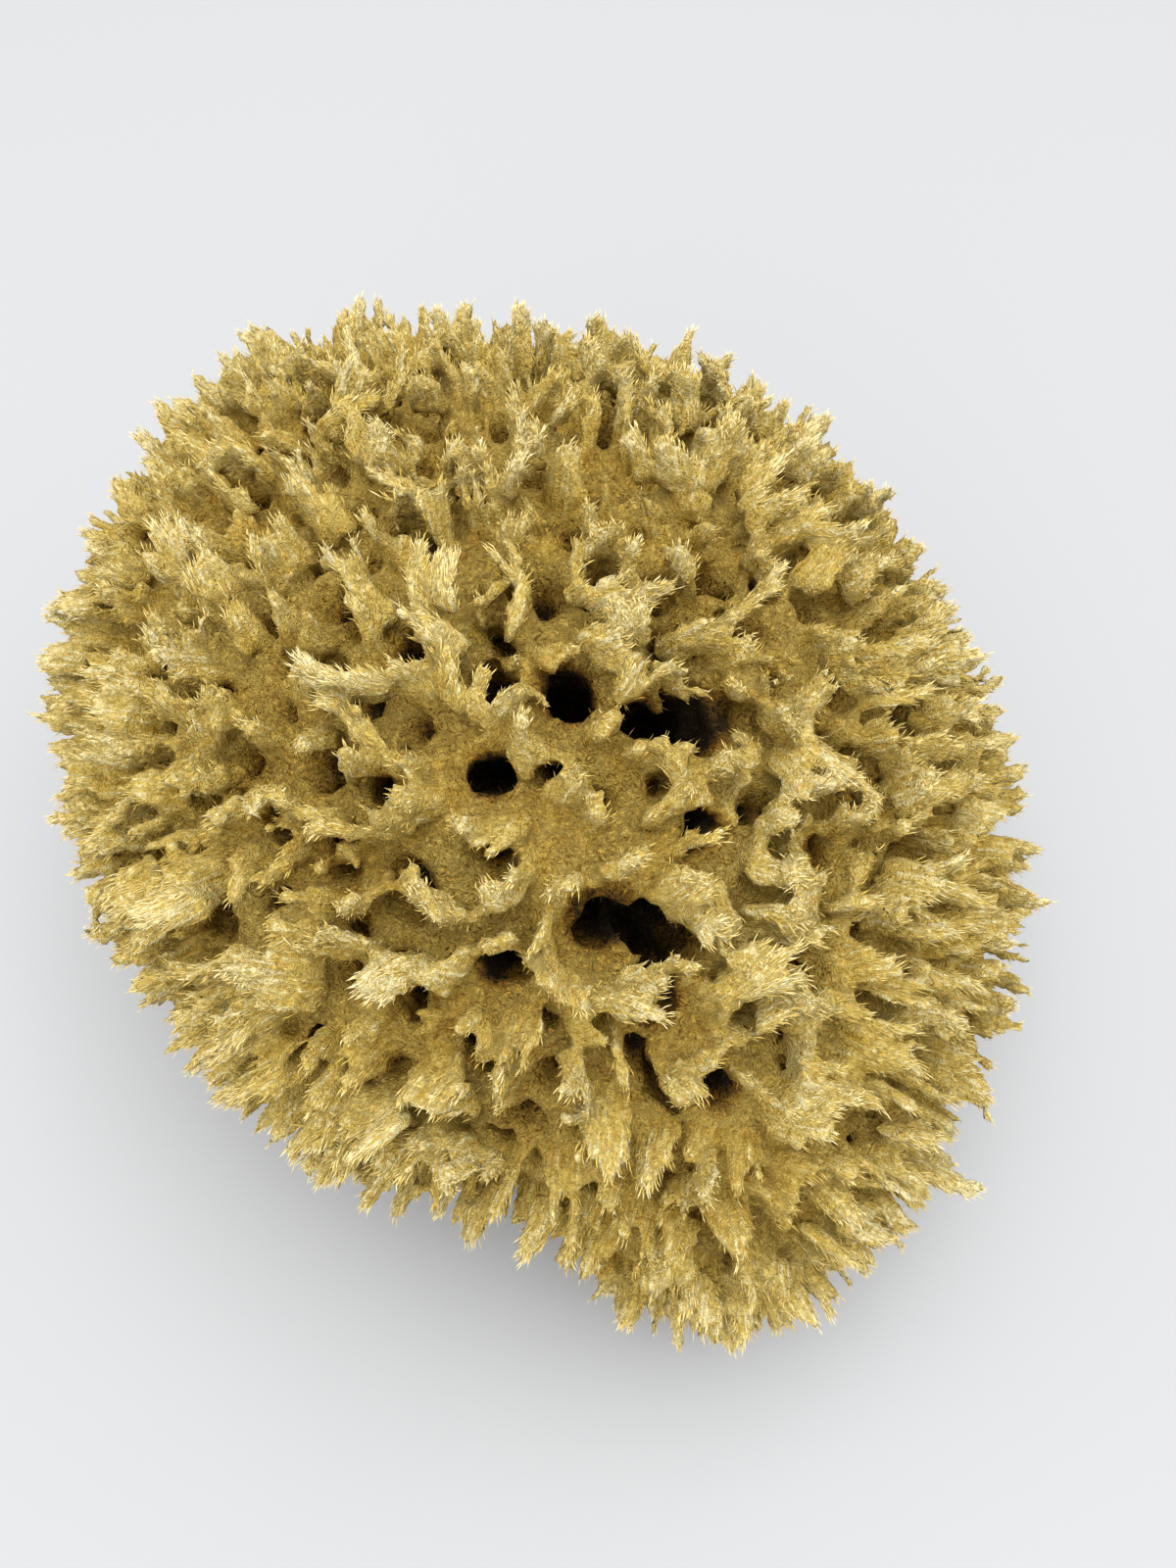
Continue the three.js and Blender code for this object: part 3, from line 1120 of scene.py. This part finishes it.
class FibreCoat(bpy.types.PropertyGroup):
    """Numbers and sizes of the fibres."""

    fringe_strands: number("Fringe Strands", "Curled strands along the edges of the tufts", 32000, 100)
    fringe_low: length("Shortest Fringe", "Length of the shortest fringe strand", 0.8 * MM)
    fringe_high: length("Longest Fringe", "Length of the longest fringe strand", 1.9 * MM)
    fringe_width: length("Fringe Width", "Width of a fringe strand at its root", 0.21 * MM)
    felt_fibres: number("Felt Fibres", "Fine short fibres all over the skin", 82000, 100)
    felt_low: length("Shortest Felt", "Length of the shortest felt fibre", 0.7 * MM)
    felt_high: length("Longest Felt", "Length of the longest felt fibre", 1.6 * MM)
    felt_width: length("Felt Width", "Width of a felt fibre at its root", 0.13 * MM)


class FibreColours(bpy.types.PropertyGroup):
    """Colours from the deep pores to the tuft tips; pore is painted shade, depth and flank partly so."""

    # Painted shade: near black for the shade deep in the large pores.
    pore: colour("Pore", "Deep inside the large pores", (0.008, 0.004, 0.001))
    # Depth and flank: fibre ochre, partly painted shade, darker and redder as in shaded valleys.
    depth: colour("Depth", "Low between the tufts", (0.21, 0.100, 0.009))
    flank: colour("Flank", "Flanks of the tufts", (0.44, 0.285, 0.048))
    tuft: colour("Tuft", "Upper part of the tufts", (0.545, 0.41, 0.114))
    tip: colour("Tip", "Frayed tips of the tufts", (0.75, 0.66, 0.36))


class StageSettings(bpy.types.PropertyGroup):
    """The floor, the lights and the camera."""

    floor_colour: colour("Floor", "Colour of the floor", (0.293, 0.299, 0.308))
    lens: strength("Lens", "Focal length in mm", 27.0)
    elevation: bpy.props.FloatProperty(
        name="Elevation", description="Camera angle above the floor", default=math.radians(58.6),
        subtype="ANGLE",
    )
    distance: length("Distance", "From the camera to the sponge's middle", 0.2125)
    light_power: strength("Panel Power", "Power of the overhead panel in watts", 24.0)
    fill_power: strength("Fill Power", "Power of the low front light in watts", 4.0)
    room_light: strength("Room Light", "Strength of the light from all around", 1.62)


# ---- stage --------------------------------------------------------------------------------------


def aim(place, target):
    """Rotation that points a camera or a light from place to target."""
    return (Vector(target) - Vector(place)).to_track_quat("-Z", "Y").to_euler()


def lay_floor(settings):
    """A plain pale floor under the cut."""
    bm = bmesh.new()
    bmesh.ops.create_grid(bm, x_segments=1, y_segments=1, size=20)
    floor = link("floor", to_mesh(bm, "floor"))
    recipe = Recipe("pale_floor")
    recipe.shader.inputs["Base Color"].default_value = (*settings.floor_colour, 1)
    recipe.shader.inputs["Roughness"].default_value = 0.55
    recipe.shader.inputs["Specular IOR Level"].default_value = 0.2
    floor.data.materials.append(recipe.material)


def place_camera(settings):
    """The camera looks down on the sponge's front from close by."""
    target = Vector((0.0065, 0.0012, 0.32 * CAD_HIGH[2]))
    up = settings.elevation
    data = bpy.data.cameras.new("camera")
    data.lens = settings.lens
    data.sensor_width = 36
    data.clip_start = 0.01
    camera = bpy.data.objects.new("camera", data)
    camera.location = target + Vector((0, -math.cos(up), math.sin(up))) * settings.distance
    camera.rotation_euler = aim(camera.location, target)
    bpy.context.scene.collection.objects.link(camera)
    bpy.context.scene.camera = camera


def hang_light(name, place, size, power):
    """A soft square light aimed at the sponge."""
    data = bpy.data.lights.new(name, "AREA")
    data.size = size
    data.energy = power
    light = bpy.data.objects.new(name, data)
    light.location = place
    light.rotation_euler = aim(place, (0, 0, 0.05))
    bpy.context.scene.collection.objects.link(light)


def light_room(settings):
    """Soft light from a panel overhead and from the pale room."""
    hang_light("overhead_panel", (0.05, -0.12, 1.3), 1.2, settings.light_power)
    hang_light("front_fill", (-0.35, -1.0, 0.4), 0.8, settings.fill_power)
    world = bpy.data.worlds.new("room")
    bpy.context.scene.world = world
    world.use_nodes = True
    sky = world.node_tree.nodes["Background"]
    sky.inputs["Color"].default_value = (1.0, 0.985, 0.965, 1)
    sky.inputs["Strength"].default_value = settings.room_light
    bpy.context.scene.view_settings.view_transform = "Standard"


# ---- operators, panel and registration ----------------------------------------------------------


class SPONGE_OT_body(bpy.types.Operator):
    """Grow the sponge's felted body with its tufts and pores."""

    bl_idname = "sponge.body"
    bl_label = "Grow Body"

    def execute(self, context):
        scene = context.scene
        grow_body(Growth(scene.sponge_shape), scene.sponge_shape)
        return {"FINISHED"}


class SPONGE_OT_part(bpy.types.Operator):
    """Part the body, once its fibres are rooted, into a front and a back half."""

    bl_idname = "sponge.part"
    bl_label = "Part Body"

    def execute(self, context):
        scene = context.scene
        growth = Growth(scene.sponge_shape)
        material = body_material(scene.sponge_colours)
        for half in part_body(bpy.data.objects["sponge_body"]):
            store_grain(growth, half.data)
            attach(half, material)
        return {"FINISHED"}


class SPONGE_OT_fringe(bpy.types.Operator):
    """Edge the lobes of the tufts with short curled strands."""

    bl_idname = "sponge.fringe"
    bl_label = "Fringe Tufts"

    def execute(self, context):
        scene = context.scene
        chance = np.random.default_rng(11)
        body = bpy.data.objects["sponge_body"]
        strands = fringe_strands(Growth(scene.sponge_shape), scene.sponge_coat, body, chance)
        material = strand_material("fringe_strand", scene.sponge_colours, 0.10)
        for piece in in_pieces("tuft_fringe", strands, 2):
            attach(piece, material)
        return {"FINISHED"}


class SPONGE_OT_felt(bpy.types.Operator):
    """Cover the skin in fine short fibres."""

    bl_idname = "sponge.felt"
    bl_label = "Cover Skin"

    def execute(self, context):
        scene = context.scene
        chance = np.random.default_rng(13)
        growth = Growth(scene.sponge_shape)
        body = bpy.data.objects["sponge_body"]
        fibres = felt_fuzz(growth, scene.sponge_coat, body, chance)
        material = strand_material("felt_fibre", scene.sponge_colours, 0.2)
        for piece in in_pieces("felt_fibres", fibres, 1):
            attach(piece, material)
        return {"FINISHED"}


class SPONGE_OT_stage(bpy.types.Operator):
    """Set up the floor, the lights and the camera."""

    bl_idname = "sponge.stage"
    bl_label = "Set Stage"

    def execute(self, context):
        settings = context.scene.sponge_stage
        lay_floor(settings)
        place_camera(settings)
        light_room(settings)
        return {"FINISHED"}


class SPONGE_PT_panel(bpy.types.Panel):
    """The sponge's pieces and its stage."""

    bl_label = "Sea Sponge"
    bl_space_type = "VIEW_3D"
    bl_region_type = "UI"
    bl_category = "Sponge"

    def draw(self, context):
        for group in ("sponge_shape", "sponge_coat", "sponge_colours", "sponge_stage"):
            settings = getattr(context.scene, group)
            box = self.layout.box()
            for name in settings.__annotations__:
                box.prop(settings, name)
        for operator in OPERATORS:
            self.layout.operator(operator.bl_idname)


GROUPS = {
    "sponge_shape": SpongeShape,
    "sponge_coat": FibreCoat,
    "sponge_colours": FibreColours,
    "sponge_stage": StageSettings,
}
OPERATORS = (SPONGE_OT_body, SPONGE_OT_fringe, SPONGE_OT_felt, SPONGE_OT_part, SPONGE_OT_stage)


def register():
    """Registers the settings, the operators and the panel."""
    for name, group in GROUPS.items():
        bpy.utils.register_class(group)
        setattr(bpy.types.Scene, name, bpy.props.PointerProperty(type=group))
    for operator in OPERATORS:
        bpy.utils.register_class(operator)
    bpy.utils.register_class(SPONGE_PT_panel)


def unregister():
    """Takes everything off again."""
    bpy.utils.unregister_class(SPONGE_PT_panel)
    for operator in reversed(OPERATORS):
        bpy.utils.unregister_class(operator)
    for name, group in reversed(GROUPS.items()):
        delattr(bpy.types.Scene, name)
        bpy.utils.unregister_class(group)


def main():
    register()
    bpy.ops.sponge.body()
    bpy.ops.sponge.fringe()
    bpy.ops.sponge.felt()
    bpy.ops.sponge.part()
    bpy.ops.sponge.stage()


if __name__ == "__main__":
    main()
